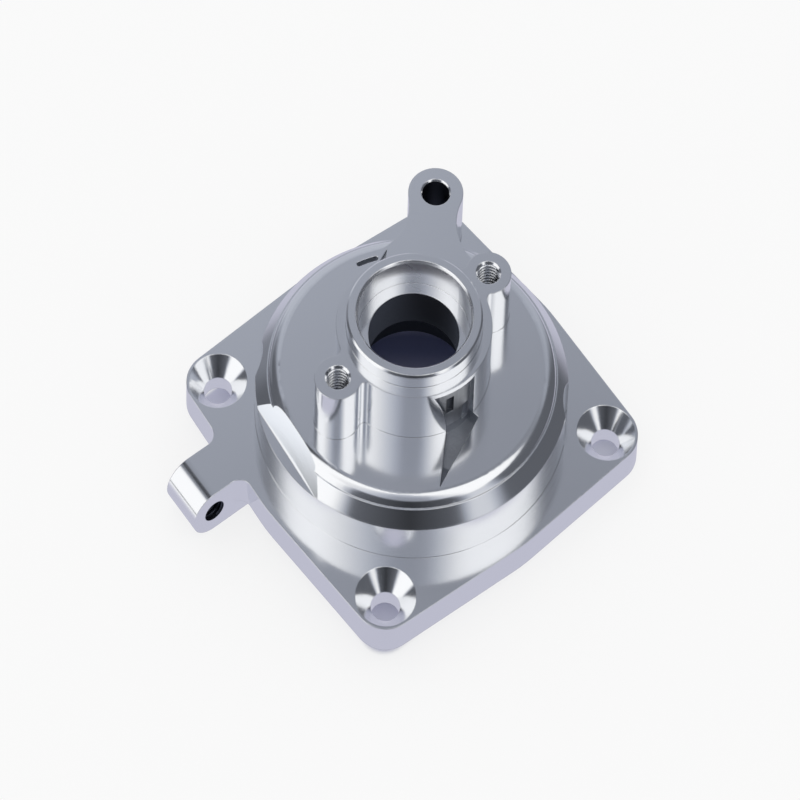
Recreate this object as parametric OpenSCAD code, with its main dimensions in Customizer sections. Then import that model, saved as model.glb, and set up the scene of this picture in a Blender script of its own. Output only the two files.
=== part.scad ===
// Clutch cover, machined from one block of aluminium.
// The origin is on the bearing axis, at the mounting face, and +Z points away from the engine.
// The hinge knuckle is on the -X side and the tall screw post is on the +X+Y corner.

/* [Mounting plate] */
// Spacing of the four screw holes along X and along Y
hole_spacing = 54; // [52:0.5:60]
// Thickness of the plate
plate_t = 6; // [5:0.25:8]
// Corner radius of the plate, about each screw hole
corner_r = 6.2; // [6:0.1:8]
// Half width of the plate at the middle of each side, where the sides bow outwards
side_r = 34.8; // [34.5:0.1:38]
// Diameter of the through holes, M5 with a medium fit
screw_d = 5.5; // [5.3:0.1:5.8]
// Diameter of the countersinks at the plate's top face
sink_d = 11.4; // [10.5:0.1:11.8]
// Full angle of the countersinks
sink_angle = 90; // [82:1:100]
// Diameter of the round bites that give the two outer screw heads room
clear_d = 17.4; // [16.8:0.2:18.6]

/* [Drum housing] */
// Outer radius of the round wall
wall_r = 30.5; // [29:0.1:31]
// Height of the wall's outer edge above the plate
wall_top = 8; // [6:0.1:8.5]
// Height of the flat deck above the plate
deck_z = 12.2; // [11.5:0.1:14]
// Radius of the flat deck
deck_r = 25.6; // [24:0.1:26]
// Radius at which the deck's rounded shoulder ends
band_r = 28; // [27.4:0.1:28.4]
// Height of the shoulder's end above the plate
band_z = 10.6; // [9.8:0.1:10.9]
// Width of the narrow ledge between the shoulder and the slope
ledge_w = 0.3; // [0.2:0.05:0.5]
// Direction that the flat facet beside the knuckle faces
facet_dir = 175; // [160:1:190]
// Distance of the facet from the axis at the level of the deck
facet_top = 26.1; // [25.8:0.1:26.6]
// Distance of the facet from the axis at the level of the wall's outer edge
facet_low = 28.4; // [27.6:0.1:29.6]
// Height of the narrow flat at the facet's foot
facet_z = 7.7; // [7:0.1:7.9]

/* [Clutch chamber] */
// Diameter of the chamber that the clutch drum turns in
chamber_d = 55; // [52:0.5:56]
// Thickness of the deck over the chamber
deck_t = 4; // [3.5:0.1:4.5]
// Size of the slope in the chamber's upper corner
chamber_slope = 3.2; // [1:0.1:4]

/* [Bearing boss] */
// Outer radius of the boss
boss_r = 15.1; // [14.5:0.1:15.5]
// Outer radius of the rim round the bearing mouth
rim_r = 13.2; // [12.5:0.1:13.8]
// Height of the rim's face above the plate
rim_z = 26.8; // [26:0.1:30]
// Chamfer round the rim
rim_chamfer = 0.35; // [0.2:0.05:0.6]
// Outside diameter of the two ball bearings
bearing_d = 22; // [19:0.5:22]
// Depth of each bearing seat
seat_depth = 6; // [5:0.25:7]
// Diameter of the opening between the two seats
shoulder_d = 17.6; // [16:0.1:18.5]
// Chamfer of the bearing mouth
mouth_chamfer = 0.4; // [0.2:0.1:0.8]
// Length of the shoulder between the two seats
shoulder_t = 7.9; // [6.5:0.1:8]
// Radius of the hub round the inner seat
hub_r = 14; // [13:0.1:16]

/* [Threaded ears] */
// Distance of each ear's hole from the bearing axis
ear_x = 18.4; // [18:0.1:19.5]
// Height of the ears' faces and of the boss's ledge above the plate
ear_z = 23.7; // [22:0.1:24.5]
// Outer radius of the ears
ear_r = 4.5; // [4:0.1:5]
// Radius of the hollows between each ear and the boss
ear_hollow = 1.2; // [0.8:0.1:2]
// Minor diameter of an M5 thread
thread_minor_d = 4.2; // [4.1:0.05:4.3]
// Major diameter of the thread
thread_major_d = 5; // [5:0.1:5.2]
// Depth of the threaded holes in the ears
ear_depth = 12; // [8:0.5:13]

/* [Screw post] */
// Outer radius of the tall screw post
post_r = 5.6; // [5:0.1:6]
// Radius of the hollows between the post and the deck
neck_r = 12; // [9:0.5:14]
// Chamfer of the post's hole
post_chamfer = 0.3; // [0.2:0.1:0.5]

/* [Hinge knuckle] */
// Distance of the knuckle's hole from the bearing axis, towards -X
knuckle_x = 41; // [40.5:0.1:44]
// Outer radius of the knuckle
knuckle_r = 4.8; // [4:0.1:5.5]
// Position along Y of the end of the knuckle nearest to the middle
knuckle_y = 8.3; // [6:0.1:10]
// Length of the knuckle
knuckle_len = 9; // [7:0.25:10]
// Radius of the hollows between knuckle and plate
knuckle_fillet = 2.5; // [1:0.25:3.5]

/* [Wedge pockets] */
// Distance from the axis of the pockets' sharp ends
pocket_tip = 25.3; // [23:0.1:25.4]
// Direction of the first pocket's sharp end, the second lies opposite
pocket_dir = 243.8; // [240:0.2:248]
// Direction of the pocket's deep side, from the X axis
deep_side = 45.5; // [43:0.5:48]
// Direction of the pocket's long side, from the X axis
long_side = 24.3; // [20:0.5:28]
// Length of the long side
pocket_len = 16; // [14:0.2:17]
// Depth of the pocket below the deck
pocket_depth = 2.2; // [1:0.1:2.5]
// Radius to which the deep side curls back up the boss
curl_r = 25.5; // [18:0.5:40]
// How far the pocket is sunk into the boss's wall
niche_depth = 1; // [0.8:0.1:2]
// Height of the pockets' upper end above the plate
niche_z = 22.6; // [18:0.1:23]
// Depth at the pocket's sharp end
tip_depth = 0.4; // [0.2:0.1:0.8]
// Diameter of the two drill marks in the pocket's back wall
mark_d = 1.6; // [1.2:0.1:2]
// Length of the drill marks
mark_len = 4; // [2:0.5:5]
// Distance of the slot beside the second pocket from the axis
slot_r = 23.9; // [23:0.1:24.4]
// Width of that slot
slot_w = 1; // [0.8:0.1:1.4]
// Angle between the two ends of the slot
slot_angle = 8.5; // [5:0.5:10]
// Depth of the slot
slot_depth = 1.5; // [0.8:0.1:2]

/* [Hidden] */
$fn = 96;
// Small overlap that keeps cuts and joins clean
eps = 0.01;
half = hole_spacing / 2;
ceiling_z = deck_z - deck_t;
seat_floor_z = rim_z - seat_depth;
inner_seat_z = seat_floor_z - shoulder_t;
hub_z = inner_seat_z - seat_depth;
sink_depth = (sink_d - screw_d) / 2 / tan(sink_angle / 2);
knuckle_z = -knuckle_r;
// Drill marks: direction counted from the pocket's sharp end, height of the lower end
marks = [[18, 15.8], [33, 11.4]];
facet_slope = (facet_low - facet_top) / (deck_z - wall_top);
facet_foot = facet_low + facet_slope * (wall_top - facet_z);

// Point at distance r and direction a about c
function polar(r, a, c = [0, 0]) = [c.x + r * cos(a), c.y + r * sin(a)];

// Direction in which the straight tangent from the middle circle leaves each corner circle
function side_turn() = acos((side_r - corner_r) / norm([half, half]));

// Angle at the axis between two circles' common line and a hollow of radius f that touches both
function waist_turn(d, r_a, r_b, f) = acos(
    ((r_a + f) * (r_a + f) + d * d - (r_b + f) * (r_b + f)) / (2 * (r_a + f) * d));

// Waisted web in plan between a circle of radius r_a at the origin and one of radius r_b at distance d
module waist(d, r_a, r_b, f) {
    turn = waist_turn(d, r_a, r_b, f);
    difference() {
        polygon([
            [0, 0], polar(r_a, -turn), polar(r_a + f, -turn), [d, 0],
            polar(r_a + f, turn), polar(r_a, turn)
        ]);
        for (s = [-1, 1]) translate(polar(r_a + f, s * turn)) circle(r = f);
    }
}

// Outline of the plate: four corner circles, one middle circle and their tangents
module plate_outline() {
    circle(r = side_r);
    for (q = [0 : 3]) {
        corner = polar(norm([half, half]), 45 + 90 * q);
        translate(corner) circle(r = corner_r);
        polygon([
            [0, 0],
            polar(side_r, 45 + 90 * q - side_turn()),
            polar(corner_r, 45 + 90 * q - side_turn(), corner),
            polar(corner_r, 45 + 90 * q + side_turn(), corner),
            polar(side_r, 45 + 90 * q + side_turn())
        ]);
    }
}

// Wall, slope, ledge and rounded shoulder up to the deck, in half section
module housing_profile() {
    shoulder_w = band_r - deck_r;
    shoulder_h = deck_z - band_z;
    round_r = (shoulder_w * shoulder_w + shoulder_h * shoulder_h) / (2 * shoulder_h);
    polygon([
        [0, -plate_t / 2], [wall_r, -plate_t / 2], [wall_r, wall_top], [band_r + ledge_w, band_z],
        [0, band_z]
    ]);
    intersection() {
        translate([0, band_z - 1]) square([band_r, deck_z - band_z + 1]);
        union() {
            translate([0, band_z - 1]) square([deck_r, deck_z - band_z + 1]);
            translate([deck_r, deck_z - round_r]) circle(r = round_r);
        }
    }
}

// Plan of the boss with its two ears
module boss_plan() {
    circle(r = boss_r);
    for (side = [0, 180]) rotate(side) {
        translate([ear_x, 0]) circle(r = ear_r);
        waist(ear_x, boss_r, ear_r, ear_hollow);
    }
}

// Boss and ears up to their common face, and the rim that stands on it
module boss() {
    linear_extrude(ear_z) boss_plan();
    rotate_extrude() polygon([
        [0, 0], [rim_r, 0], [rim_r, rim_z - rim_chamfer], [rim_r - rim_chamfer, rim_z], [0, rim_z]
    ]);
}

// Everything that is turned out: bearing seats, shoulder and chamber, in half section
module inside_profile() {
    seat_r = bearing_d / 2;
    chamber_r = chamber_d / 2;
    polygon([
        [0, -plate_t - 1], [chamber_r, -plate_t - 1], [chamber_r, ceiling_z - chamber_slope],
        [chamber_r - chamber_slope, ceiling_z], [hub_r, ceiling_z], [hub_r, hub_z], [seat_r, hub_z],
        [seat_r, inner_seat_z], [shoulder_d / 2, inner_seat_z], [shoulder_d / 2, seat_floor_z],
        [seat_r, seat_floor_z], [seat_r, rim_z - mouth_chamfer], [seat_r + mouth_chamfer, rim_z],
        [seat_r + mouth_chamfer, rim_z + 1], [0, rim_z + 1]
    ]);
}

// Screw post on its corner and the neck that joins it to the deck
module post() {
    d = norm([half, half]);
    // The hollows start a little inside the deck's edge, so that they cross it cleanly
    translate([0, 0, -plate_t]) linear_extrude(plate_t + deck_z) rotate(45) {
        translate([d, 0]) circle(r = post_r);
        waist(d, deck_r - 0.4, post_r, neck_r);
    }
}

// Threaded hole with its lead-in chamfer, drilled down from z = 0
module tapped_hole(depth) {
    lead = (thread_major_d - thread_minor_d) / 2;
    translate([0, 0, -depth]) cylinder(h = depth + 1, d = thread_minor_d);
    translate([0, 0, -lead]) cylinder(h = lead + eps, d1 = thread_minor_d, d2 = thread_major_d + 2 * eps);
}

// Position along X of the plate's edge beside the knuckle, at a given Y
function edge_x(y) = (side_r - y * sin(135 + side_turn())) / cos(135 + side_turn());

// Hollow corner in plan, where the knuckle's end meets the plate's edge
module knuckle_corner(y, side) {
    x = edge_x(y + side * knuckle_fillet) - knuckle_fillet;
    difference() {
        translate([x, side > 0 ? y - 1 : y - knuckle_fillet])
            square([knuckle_fillet + 3, knuckle_fillet + 1]);
        translate([x, y + side * knuckle_fillet]) circle(r = knuckle_fillet);
    }
}

// Knuckle with a level top and underside, joined to the plate by two hollow corners
module knuckle() {
    translate([-knuckle_x, knuckle_y, knuckle_z])
        rotate([-90, 0, 0]) cylinder(h = knuckle_len, r = knuckle_r);
    translate([-knuckle_x, knuckle_y, -2 * knuckle_r])
        cube([knuckle_x + edge_x(knuckle_y) + 2, knuckle_len, 2 * knuckle_r]);
    translate([0, 0, -plate_t]) linear_extrude(plate_t) {
        knuckle_corner(knuckle_y, -1);
        knuckle_corner(knuckle_y + knuckle_len, 1);
    }
}

// Tool path of one wedge pocket: a triangle in plan that runs into the boss
module wedge_pocket() {
    tip = polar(pocket_tip, pocket_dir);
    floor_z = deck_z - pocket_depth;
    back_r = boss_r - niche_depth;
    difference() {
        intersection() {
            translate([0, 0, floor_z]) linear_extrude(niche_z - floor_z)
                polygon([tip, polar(2 * pocket_len, deep_side + 25, tip), polar(pocket_len, long_side, tip)]);
            // The floor falls from the sharp end towards the boss
            translate([tip.x, tip.y, deck_z]) rotate(long_side) translate([0, pocket_len, 0])
                rotate([90, 0, 0]) linear_extrude(2 * pocket_len)
                    polygon([
                        [-1, -tip_depth], [0, -tip_depth], [pocket_len / 2, -pocket_depth - 1],
                        [2 * pocket_len, -pocket_depth - 1], [2 * pocket_len, niche_z], [-1, niche_z]
                    ]);
        }
        // Stops short of the bearing seat
        cylinder(h = rim_z, r = back_r);
        // The deep side is plumb up to just below the deck and curls back above it
        translate([tip.x, tip.y, deck_z - tip_depth]) rotate(deep_side) {
            translate([-pocket_len, curl_r, 0]) rotate([0, 90, 0]) cylinder(h = 4 * pocket_len, r = curl_r);
            translate([-pocket_len, 0, -pocket_depth]) cube([4 * pocket_len, curl_r, pocket_depth]);
        }
    }
    // Drill marks in the back wall
    for (mark = marks) rotate(pocket_dir + mark[0]) translate([back_r, 0, mark[1]])
        cylinder(h = mark_len, d = mark_d);
}

// Short curved slot in the deck beside the second pocket's sharp end
module deck_slot() {
    mid = pocket_dir - 180 + 10.5;
    translate([0, 0, deck_z - slot_depth]) {
        intersection() {
            difference() {
                cylinder(h = slot_depth + 1, r = slot_r + slot_w / 2);
                translate([0, 0, -1]) cylinder(h = slot_depth + 3, r = slot_r - slot_w / 2);
            }
            linear_extrude(slot_depth + 1) polygon([
                [0, 0], polar(2 * slot_r, mid - slot_angle / 2), polar(2 * slot_r, mid + slot_angle / 2)
            ]);
        }
        for (s = [-1, 1]) translate(polar(slot_r, mid + s * slot_angle / 2))
            cylinder(h = slot_depth + 1, d = slot_w);
    }
}

// Heights in the modules count from the plate's top face, so the whole is raised by the plate
module clutch_cover() color([0.75, 0.76, 0.79]) translate([0, 0, plate_t]) difference() {
    union() {
        translate([0, 0, -plate_t]) linear_extrude(plate_t) plate_outline();
        difference() {
            rotate_extrude() housing_profile();
            // Flat facet beside the knuckle
            rotate(facet_dir) translate([0, wall_r, 0]) rotate([90, 0, 0]) linear_extrude(2 * wall_r)
                polygon([
                    [facet_top - facet_slope, deck_z + 1], [facet_foot, facet_z],
                    [2 * wall_r, facet_z], [2 * wall_r, deck_z + 1]
                ]);
            // Room for the heads of the two outer screws
            for (q = [1, 3]) rotate(45 + 90 * q) translate([norm([half, half]), 0, 0])
                cylinder(h = deck_z + 1, d = clear_d);
        }
        post();
        boss();
        knuckle();
    }
    rotate_extrude() inside_profile();
    // Three countersunk holes
    for (q = [1 : 3]) rotate(45 + 90 * q) translate([norm([half, half]), 0, 0]) {
        translate([0, 0, -plate_t - 1]) cylinder(h = plate_t + 2, d = screw_d);
        translate([0, 0, -sink_depth]) cylinder(h = sink_depth, d1 = screw_d, d2 = sink_d);
        cylinder(h = 1, d = sink_d);
    }
    // Plain hole through the post
    translate([half, half, -plate_t - 1]) cylinder(h = plate_t + deck_z + 2, d = screw_d);
    translate([half, half, deck_z - post_chamfer])
        cylinder(h = post_chamfer + eps, d1 = screw_d, d2 = screw_d + 2 * post_chamfer + 2 * eps);
    for (side = [-1, 1]) translate([side * ear_x, 0, ear_z]) tapped_hole(ear_depth);
    // Threaded hole along the knuckle
    translate([-knuckle_x, knuckle_y - 1, knuckle_z])
        rotate([-90, 0, 0]) cylinder(h = knuckle_len + 2, d = thread_minor_d);
    for (turn = [0, 180]) rotate(turn) wedge_pocket();
    deck_slot();
}

clutch_cover();
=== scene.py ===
import math

import bmesh
import bpy
from mathutils import Matrix, Vector


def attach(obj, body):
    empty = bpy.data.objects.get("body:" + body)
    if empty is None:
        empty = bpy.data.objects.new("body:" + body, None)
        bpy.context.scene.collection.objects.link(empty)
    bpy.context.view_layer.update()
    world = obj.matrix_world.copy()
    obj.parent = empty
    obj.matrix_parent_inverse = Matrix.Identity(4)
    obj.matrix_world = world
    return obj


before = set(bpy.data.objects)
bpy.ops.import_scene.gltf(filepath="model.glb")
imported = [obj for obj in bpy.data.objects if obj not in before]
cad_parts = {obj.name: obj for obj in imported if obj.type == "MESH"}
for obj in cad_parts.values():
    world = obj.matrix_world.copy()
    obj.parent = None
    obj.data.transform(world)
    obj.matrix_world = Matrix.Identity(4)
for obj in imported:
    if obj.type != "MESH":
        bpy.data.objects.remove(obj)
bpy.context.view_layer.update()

# The cover
# One piece of aluminium, turned on a lathe for the housing, the boss and the bearing seats, then
# milled for the plate, the ears, the post and the knuckle. Fine tools left it nearly as bright as
# a mirror. Only the two wedge pockets, the chamber and the deep holes stayed dull. The chamber and
# the deep holes are also painted dark as shade, and the pockets darker towards their upper end.


class Knob:
    """A shader or mesh socket that takes part in sums, so that a finish reads as a formula."""

    def __init__(self, tree, socket=None):
        self.tree, self.socket = tree, socket

    def node(self, kind, settings=None, outlet=0, at=(), **named):
        """A new node, with values or links for its sockets by number in at, or by name."""
        made = self.tree.nodes.new(kind)
        for name, value in (settings or {}).items():
            setattr(made, name, value)
        fed = dict(at) if isinstance(at, dict) else dict(enumerate(at))
        fed.update((name.replace("_", " "), value) for name, value in named.items())
        for key, value in fed.items():
            if isinstance(value, Knob):
                self.tree.links.new(value.socket, made.inputs[key])
            else:
                made.inputs[key].default_value = value
        return Knob(self.tree, made.outputs[outlet]) if len(made.outputs) else None

    def other(self, outlet):
        """Another outlet of the same node."""
        return Knob(self.tree, self.socket.node.outputs[outlet])

    def math(self, operation, *values):
        return self.node("ShaderNodeMath", {"operation": operation}, at=values)

    def __add__(self, other):
        return self.math("ADD", self, other)

    __radd__ = __add__

    def __mul__(self, other):
        return self.math("MULTIPLY", self, other)

    __rmul__ = __mul__

    def __sub__(self, other):
        return self.math("SUBTRACT", self, other)

    def __rsub__(self, other):
        return self.math("SUBTRACT", other, self)

    def __abs__(self):
        return self.math("ABSOLUTE", self)

    def most(self, other):
        return self.math("MAXIMUM", self, other)

    def between(self, low, high, smooth=True):
        """0 below low and 1 above high, with a smooth or an even rise in between."""
        kind = "SMOOTHSTEP" if smooth else "LINEAR"
        return self.node("ShaderNodeMapRange", {"interpolation_type": kind},
                         Value=self, From_Min=low, From_Max=high)

    def band(self, low, high, soft=0.1):
        """1 between low and high, with each end softened over this width inside them."""
        return self.between(low, low + soft) * (1 - self.between(high - soft, high))

    def vector(self, operation, *values):
        outlet = "Value" if operation in ("LENGTH", "DOT_PRODUCT") else "Vector"
        return self.node("ShaderNodeVectorMath", {"operation": operation}, outlet, values)

    def joined(self, *numbers):
        """Two or three numbers as one vector or colour."""
        return self.node("ShaderNodeCombineXYZ", at=numbers)

    def mix(self, share, first, second, blend_type="MIX"):
        """A colour that is the first at a share of 0 and the second at 1."""
        # The colours of a Mix node are its inputs 6 and 7 and its output 2
        return self.node("ShaderNodeMix", {"data_type": "RGBA", "blend_type": blend_type}, 2,
                         {0: share, 6: first, 7: second})

    def blend(self, share, other):
        """This colour, turned to the other by the share."""
        return self.mix(share, self, other)


def fresh_material(name):
    material = bpy.data.materials.new(name)
    material.use_nodes = True
    material.node_tree.nodes.clear()
    return material, Knob(material.node_tree)


mm = 0.001
bright = (0.90, 0.91, 0.93, 1)
dull = (0.46, 0.48, 0.52, 1)
# The pockets' upper end is painted darker with this, as shade
painted_pocket_shade = (0.15, 0.16, 0.18, 1)
# Painted shade for the deep holes and the chamber
painted_hole_shade = (0.10, 0.11, 0.14, 1)

# How rough the fine cut is, and what the coarser finishes add to it
fine_cut, grain_adds, wall_adds, seat_adds = 0.11, 0.05, 0.10, 0.14
pocket_adds, drill_adds = 0.32, 0.3

# Heights from the mounting face and distances from the bearings' axis, in mm
plate_top, wall_top, wall_radius = 6.0, 14.0, 30.5
deck, pocket_floor, pocket_start, pocket_tip = 18.2, 16.0, 12.0, 25.3
niche_top, niche_radius = 28.6, 14.1
seat_floor, inner_seat_top, seat_radius = 26.8, 18.9, 11.0
chamber_corner, chamber_radius = 11.0, 27.5
screw_place, screw_radius = 27.0, 2.75
knuckle_x, knuckle_z, thread_radius = -41.0, 1.2, 2.1

aluminium, mill = fresh_material("machined_aluminium")
place = mill.node("ShaderNodeTexCoord", outlet="Object")
axes = mill.node("ShaderNodeSeparateXYZ", at=[place])
x, y, z = (axes.other(i) * (1 / mm) for i in range(3))
squared = x * x + y * y
radius = squared.math("SQRT", squared)

# Where the pockets were milled into the deck and into the boss's wall. Each finish reaches a
# little past the faces that it is for, and ends where there is no metal.
in_deck = z.band(pocket_floor - 0.2, deck - 0.06, soft=0.06)
in_deck = in_deck * radius.band(pocket_start, pocket_tip + 0.1)
in_boss = radius.between(niche_radius - 1.6, niche_radius - 1.5)
in_boss = in_boss * (1 - radius.between(niche_radius - 0.1, niche_radius + 0.2))
in_boss = in_boss * z.band(deck - 0.1, niche_top + 0.05)
milled = in_deck.most(in_boss)


def near_axis(across, along, reach):
    """1 within this reach of a hole's axis, from how far a point lies off it both ways."""
    return 1 - mill.vector("LENGTH", mill.joined(across, along)).between(reach - 0.02, reach + 0.02)


# The deep holes and the chamber, where hardly any light comes in. They are rougher, and painted
# dark as shade
post_hole = near_axis(x - screw_place, y - screw_place, screw_radius + 0.1)
post_hole = post_hole * (1 - z.between(deck - 0.5, deck - 0.3))
knuckle_hole = near_axis(x - knuckle_x, z - knuckle_z, thread_radius + 0.07)
chamber = 1 - radius.between(chamber_radius - 0.1, chamber_radius + 0.1)
chamber = chamber * (1 - z.between(chamber_corner + 0.5, chamber_corner + 0.7))
inner_seat = 1 - radius.between(seat_radius + 0.2, seat_radius + 0.3)
inner_seat = inner_seat * (1 - z.between(inner_seat_top - 0.4, inner_seat_top - 0.1))
unlit = post_hole.most(knuckle_hole).most(chamber).most(inner_seat)

# The housing's outer wall and the upper bearing seat were left with a coarser cut than the rest
outer_wall = radius.band(wall_radius - 0.2, wall_radius + 0.2)
outer_wall = outer_wall * z.band(plate_top + 0.05, wall_top + 0.3, soft=0.05)
upper_seat = radius.band(seat_radius - 0.3, seat_radius + 0.3)
upper_seat = upper_seat * z.between(seat_floor + 0.05, seat_floor + 0.1)
coarse = outer_wall * wall_adds + upper_seat * seat_adds

# Lines of the turning tool round the axis, patches of duller grain, nicks in the milled pockets
# and edges broken by a fifth of a millimetre
lines = mill.node("ShaderNodeTexNoise", {"noise_dimensions": "2D"}, Scale=1.0, Detail=3.0,
                  Roughness=0.6, Vector=mill.joined(radius * 2.6 + z * 3.4, z * 0.02))
patches = mill.node("ShaderNodeTexNoise", Scale=90.0, Detail=2.0, Vector=place)
nicks = mill.node("ShaderNodeTexNoise", Scale=1400.0, Detail=3.0, Vector=place)
edges = mill.node("ShaderNodeBevel", {"samples": 4}, Radius=0.22 * mm)
tooled = mill.node("ShaderNodeBump", Strength=0.06, Distance=0.02 * mm, Height=lines, Normal=edges)
rough_cut = mill.node("ShaderNodeBump", Strength=0.5, Distance=0.12 * mm, Height=nicks * milled,
                      Normal=tooled)

# The pockets' walls are painted darker towards their upper end, as shade
pocket_cut_and_shade = mill.mix(z.between(deck - 0.2, deck + 5.8), dull, painted_pocket_shade)
finish = fine_cut + patches * grain_adds + coarse + milled * pocket_adds + unlit * drill_adds
# The deep holes and the chamber are painted dark in their colour, as shade
metal = mill.node("ShaderNodeBsdfPrincipled", Metallic=1.0, Roughness=finish, Normal=rough_cut,
                  Base_Color=mill.mix(milled, bright, pocket_cut_and_shade).blend(unlit, painted_hole_shade))
mill.node("ShaderNodeOutputMaterial", at=[metal])

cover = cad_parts["clutch_cover"]
for slot in cover.material_slots:
    slot.material = aluminium

# The threads
# Three tapped holes take M5 screws, one in each ear and one along the knuckle. The tap cut
# their ridges in the same aluminium, 0.8 mm apart, from below the lead-in to the hole's end.

coil = bpy.data.node_groups.new("tapped_thread", "GeometryNodeTree")
coil.is_modifier = True
for label, size in (("Hole radius", (thread_radius + 0.02) * mm), ("Pitch", 0.8 * mm),
                    ("Turns", 12.0), ("Ridge", 0.3 * mm)):
    socket = coil.interface.new_socket(label, in_out="INPUT", socket_type="NodeSocketFloat")
    socket.default_value = size
coil.interface.new_socket("Finish", in_out="INPUT", socket_type="NodeSocketMaterial")
coil.interface.new_socket("Thread", in_out="OUTPUT", socket_type="NodeSocketGeometry")

tap = Knob(coil)
asked = tap.node("NodeGroupInput")
hole = asked.other("Hole radius")
ridge_path = tap.node("GeometryNodeCurveSpiral", Resolution=40, Rotations=asked.other("Turns"),
                      Start_Radius=hole, End_Radius=hole,
                      Height=asked.other("Pitch") * asked.other("Turns"))
upright = tap.node("GeometryNodeSetCurveNormal", {"mode": "Z_UP"}, Curve=ridge_path)
profile = tap.node("GeometryNodeCurvePrimitiveCircle", Resolution=4, Radius=asked.other("Ridge"))
swept = tap.node("GeometryNodeCurveToMesh", Curve=upright, Profile_Curve=profile, Fill_Caps=True)
loose = tap.node("GeometryNodeRealizeInstances", Geometry=swept)
done = tap.node("GeometryNodeSetMaterial", Geometry=loose, Material=asked.other("Finish"))
tap.node("NodeGroupOutput", at=[done])

# Where each thread starts in mm, how it stands, and how many turns it has
upwards = Matrix.Identity(4)
along_knuckle = Matrix.Rotation(math.pi / 2, 4, "X")
threads = {
    "ear_thread_left": ((-18.4, 0, 18.6), upwards, 13.0),
    "ear_thread_right": ((18.4, 0, 18.6), upwards, 13.0),
    "knuckle_thread": ((knuckle_x, 16.9, knuckle_z), along_knuckle, 10.2),
}
for name, (foot, stand, turns) in threads.items():
    blank = bpy.data.objects.new(name, bpy.data.meshes.new(name))
    bpy.context.scene.collection.objects.link(blank)
    tapping = blank.modifiers.new("tapping", "NODES")
    tapping.node_group = coil
    wanted = {"Turns": turns, "Finish": aluminium}
    for item in coil.interface.items_tree:
        if item.in_out == "INPUT" and item.name in wanted:
            tapping[item.identifier] = wanted[item.name]
    finished = blank.evaluated_get(bpy.context.evaluated_depsgraph_get())
    shape = bpy.data.meshes.new_from_object(finished)
    blank.modifiers.clear()
    shape.transform(Matrix.Translation(Vector(foot) * mm) @ stand)
    shape.name = name
    blank.data = shape
    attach(blank, "root")

# The tent
# Bright metal is photographed in a tent of white cloth, and shows only what stands round it:
# two tall lit panels, one to the left and one to the right, a black card under the lens with
# the grey of the room above it, a grey wall at the back, and black gaps between them.

tent_radius = 1.4
left_glow, right_glow = 1.06, 1.05
cool_white = (0.92, 0.975, 1.12, 1)
white = (1, 1, 1, 1)

tent_mesh = bpy.data.meshes.new("tent")
shell = bmesh.new()
bmesh.ops.create_uvsphere(shell, u_segments=64, v_segments=32, radius=tent_radius)
shell.to_mesh(tent_mesh)
shell.free()
tent = bpy.data.objects.new("tent", tent_mesh)
bpy.context.scene.collection.objects.link(tent)
for kind in ("camera", "diffuse", "shadow", "transmission", "volume_scatter"):
    setattr(tent, "visible_" + kind, False)
cloth, sewing = fresh_material("tent")
lens_side = Vector((-0.6428, -0.7660, 0))
lens_right = Vector((-lens_side.y, lens_side.x, 0))


def tent_cloth(base, toward):
    """The colour that the tent shows in a direction, which is a unit vector."""
    # Turn is in degrees round the cover from the lens, and rise in degrees above the paper
    ahead = base.vector("DOT_PRODUCT", toward, lens_side)
    beside = base.vector("DOT_PRODUCT", toward, lens_right)
    turn = beside.math("ARCTAN2", beside, ahead) * math.degrees(1)
    height = base.node("ShaderNodeSeparateXYZ", at=[toward]).other(2)
    rise = height.math("ARCSINE", height) * math.degrees(1)
    high = rise.between(36, 50)

    # The card under the lens, the gaps beside it and the wall at the back
    card = 0.035 + abs(turn - 2) * (1 - high) * 0.0025 + high * 0.29 + rise.between(60, 82) * 0.17
    gaps = 0.12 + rise.between(45, 60) * 0.12 + rise.between(66, 86) * 0.3
    wall = 0.525 - rise.between(28, 50) * 0.08 - rise.between(51, 57) * 0.12
    wall = wall + rise.between(72, 88) * 0.12 - beside.between(-0.05, 0.05, smooth=False) * 0.075
    under_lens = turn.between(-50, -38) * (1 - turn.between(26, 34))
    at_back = abs(turn).between(126, 150)
    room = gaps * (1 - under_lens) * (1 - at_back) + card * under_lens + wall * at_back

    # The tent's opening beside the left panel: light comes in at its foot, and it is dark higher up
    opening = turn.band(-150, -112, soft=8)
    foot_light = (1 - rise.between(4, 14)) * 0.1
    dark_fold = rise.between(57, 60) * (1 - rise.between(68, 74)) * 0.2
    room = room + opening * (foot_light - dark_fold)

    # The left panel reaches further back higher up, where it also fades slowly towards the lens
    left_start = (40 - rise).most(0) * 0.4 - rise.between(62, 80) * 43 - 104
    left_end = (1 - high) * (1 - turn.between(-47, -30))
    left_end = left_end + high * (1 - turn.between(-64, 16, smooth=False))
    left = turn.between(left_start - 7, left_start + 7) * left_end

    # The right panel widens upwards in the same way, and its foot is dimmer
    right_start = (1 - high) * turn.between(28, 42) + high * turn.between(4, 42, smooth=False)
    right_end = (rise - 35).most(0) * 2.5 + 58
    right = right_start * (1 - turn.between(right_end - 9, right_end + 9))
    right = right * (0.65 + rise.between(22, 34) * 0.35)

    # Dark cloth looks bluer than lit cloth
    light = room.most(left * left_glow).most(right * right_glow)
    tint = base.mix(light.between(0.35, 0.95), cool_white, white)
    return base.mix(1.0, tint, base.joined(light, light, light), "MULTIPLY")


outwards = sewing.vector("NORMALIZE", sewing.node("ShaderNodeTexCoord", outlet="Object"))
lit_cloth = sewing.node("ShaderNodeEmission", Color=tent_cloth(sewing, outwards), Strength=1.0)
sewing.node("ShaderNodeOutputMaterial", at=[lit_cloth])
tent_mesh.materials.append(cloth)

# The floor
# White paper. The cover stands on its knuckle and on the plate's right edge, so the paper is
# tilted to touch both. The paper lies in the tent, and far out the metal shows the tent's foot.

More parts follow.
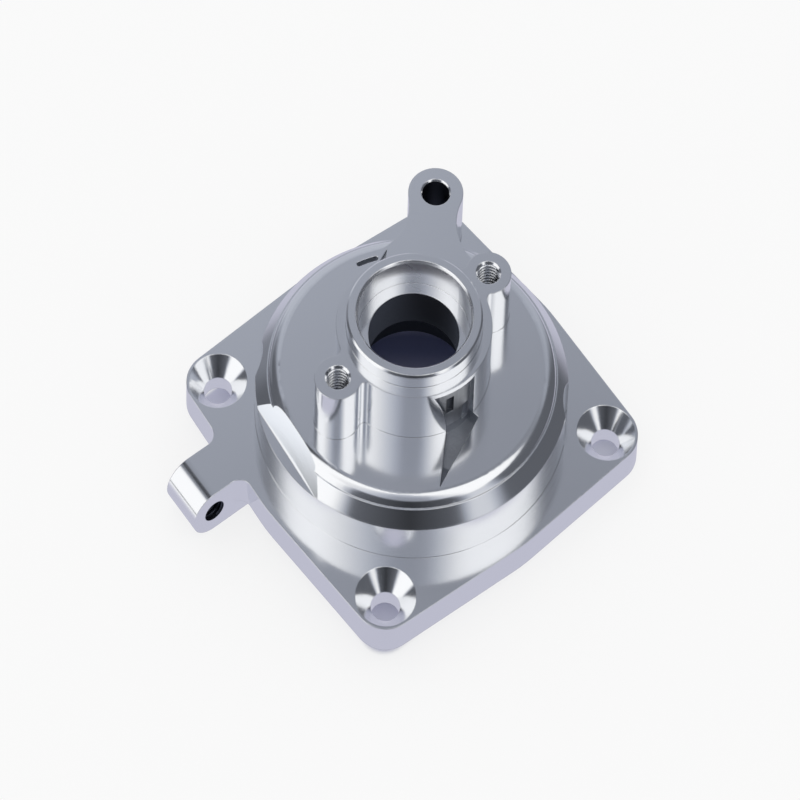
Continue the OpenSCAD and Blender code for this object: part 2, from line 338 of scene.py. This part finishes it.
paper_reach = 3.0
knuckle_edge = Vector((-32.4, 0, -3.6)) * mm
plate_edge = Vector((34.79, 0, 0)) * mm
slant = (plate_edge.z - knuckle_edge.z) / (plate_edge.x - knuckle_edge.x)
floor_mesh = bpy.data.meshes.new("floor")
corners = [(-paper_reach, -paper_reach), (paper_reach, -paper_reach),
           (paper_reach, paper_reach), (-paper_reach, paper_reach)]
floor_mesh.from_pydata([(a, b, plate_edge.z + (a - plate_edge.x) * slant) for a, b in corners],
                       [], [(0, 1, 2, 3)])
floor = bpy.data.objects.new("floor", floor_mesh)
bpy.context.scene.collection.objects.link(floor)

paper, sheet = fresh_material("white_paper")
spread = sheet.vector("MULTIPLY", sheet.node("ShaderNodeTexCoord", outlet="Object"), (1, 1, 0))
out = sheet.vector("LENGTH", spread) * (1 / mm)
spread_axes = sheet.node("ShaderNodeSeparateXYZ", at=[spread])
paper_x, paper_y = spread_axes * (1 / mm), spread_axes.other(1) * (1 / mm)

# Under the plate the paper lies in shade, and its colour is painted darker and bluer as more shade.
# In the middle the light that falls through the bore is painted on its front half, and its back
# half is painted darkest.
open_paper = (0.95, 0.95, 0.95, 1)
painted_plate_shade = (0.74, 0.75, 0.88, 1)
painted_bore_light = (0.85, 0.85, 1.0, 1)
painted_bore_shade = (0.16, 0.18, 0.32, 1)
off_plate = sheet.joined((abs(paper_x) - screw_place).most(0), (abs(paper_y) - screw_place).most(0))
beyond = sheet.vector("LENGTH", off_plate).between(3.8, 5.2)
outside_bore = out.between(20, 24)
behind = (paper_x * 0.64 + paper_y * 0.77).between(3, 18)
painted_bore_pool = sheet.mix(behind, painted_bore_light, painted_bore_shade)
paper_with_painted_shade = painted_bore_pool.blend(outside_bore, painted_plate_shade).blend(beyond, open_paper)

# The camera sees the paper mostly as plain white, and the rest of it as matt paper in the cover's
# shadow, with the painted shade on it
ray = sheet.node("ShaderNodeLightPath")
matt = sheet.node("ShaderNodeBsdfDiffuse", Color=paper_with_painted_shade)
glow = sheet.node("ShaderNodeEmission", Color=(0.955, 0.955, 0.955, 1), Strength=1.0)
glow_share = ray.other("Is Camera Ray") * beyond * 0.8
seen = sheet.node("ShaderNodeMixShader", at=[glow_share, matt, glow])

# What the metal shows of the paper is painted: near to the cover painted shade, and to the left a
# painted patch of shade that grows lighter further back
paper_shade = (0.55, 0.55, 0.65, 1)
dim = 0.006 + paper_x.between(-12, 15, smooth=False) * 0.03
near_paper = sheet.joined(dim * 0.85, dim * 0.95, dim * 1.25).blend(outside_bore, paper_shade)
tent_foot = tent_cloth(sheet, sheet.vector("NORMALIZE", spread))
far_paper = near_paper.blend(out.between(55, 95), tent_foot)
# Painted shade on the mirrored paper to the left, lighter further back
foot = 0.2 + paper_y.between(62, 82) * 0.88
painted_patch_shade = sheet.joined(foot * 0.96, foot, foot * 1.06)
at_patch_shade = paper_x.band(-190, -85, soft=20)
at_patch_shade = at_patch_shade * paper_y.between(30, 45) * (1 - paper_y.between(96, 110))
painted_paper_reflection = sheet.node("ShaderNodeEmission", Color=far_paper.blend(at_patch_shade, painted_patch_shade), Strength=1.0)
top_side = sheet.node("ShaderNodeMixShader", at=[ray.other("Is Glossy Ray"), seen, painted_paper_reflection])

# From below the paper isn't there, so that the mounting face can be looked at
from_below = sheet.node("ShaderNodeNewGeometry", outlet="Backfacing")
clear = sheet.node("ShaderNodeBsdfTransparent")
whole = sheet.node("ShaderNodeMixShader", at=[from_below, top_side, clear])
sheet.node("ShaderNodeOutputMaterial", at=[whole])
floor_mesh.materials.append(paper)

# The room
# White all round. It lights the paper from every side, so that the cover's shadow on it is soft,
# and it is what the camera sees above the paper. The tent hides it from the metal.

world = bpy.data.worlds.new("white_room")
bpy.context.scene.world = world
world.use_nodes = True
world.node_tree.nodes.clear()
sky = Knob(world.node_tree)
even_light = sky.node("ShaderNodeBackground", Color=white, Strength=1.0)
sky.node("ShaderNodeOutputWorld", at=[even_light])

# The camera
# A long lens looks down at 55 degrees over the plate's front corner, to the right of the
# knuckle. The photograph is squeezed to seven eighths of its width, so the camera hangs from a
# stand that is sheared to match, and the round mouth comes out as the same narrow oval.

view_axes = Matrix((
    (0.78980571, 0.24016578, -0.37260733),
    (-0.61288833, 0.34741726, -0.44794191),
    (0.02397575, 0.90643347, 0.81271879),
))
view_place = Vector((-0.3175253, -0.3782971, 0.6966438))
focal_pixels = 4345.27
photo_width = 800

camera_stand = bpy.data.objects.new("camera_stand", None)
bpy.context.scene.collection.objects.link(camera_stand)
lens = bpy.data.cameras.new("camera")
lens.sensor_width = 36.0
lens.lens = focal_pixels / photo_width * lens.sensor_width
lens.clip_start = 0.05
lens.clip_end = 20.0
camera = bpy.data.objects.new("camera", lens)
bpy.context.scene.collection.objects.link(camera)
camera.parent = camera_stand
camera.matrix_parent_inverse = Matrix.Translation(view_place) @ view_axes.to_4x4()
bpy.context.scene.camera = camera

bpy.context.scene.view_settings.view_transform = "Standard"
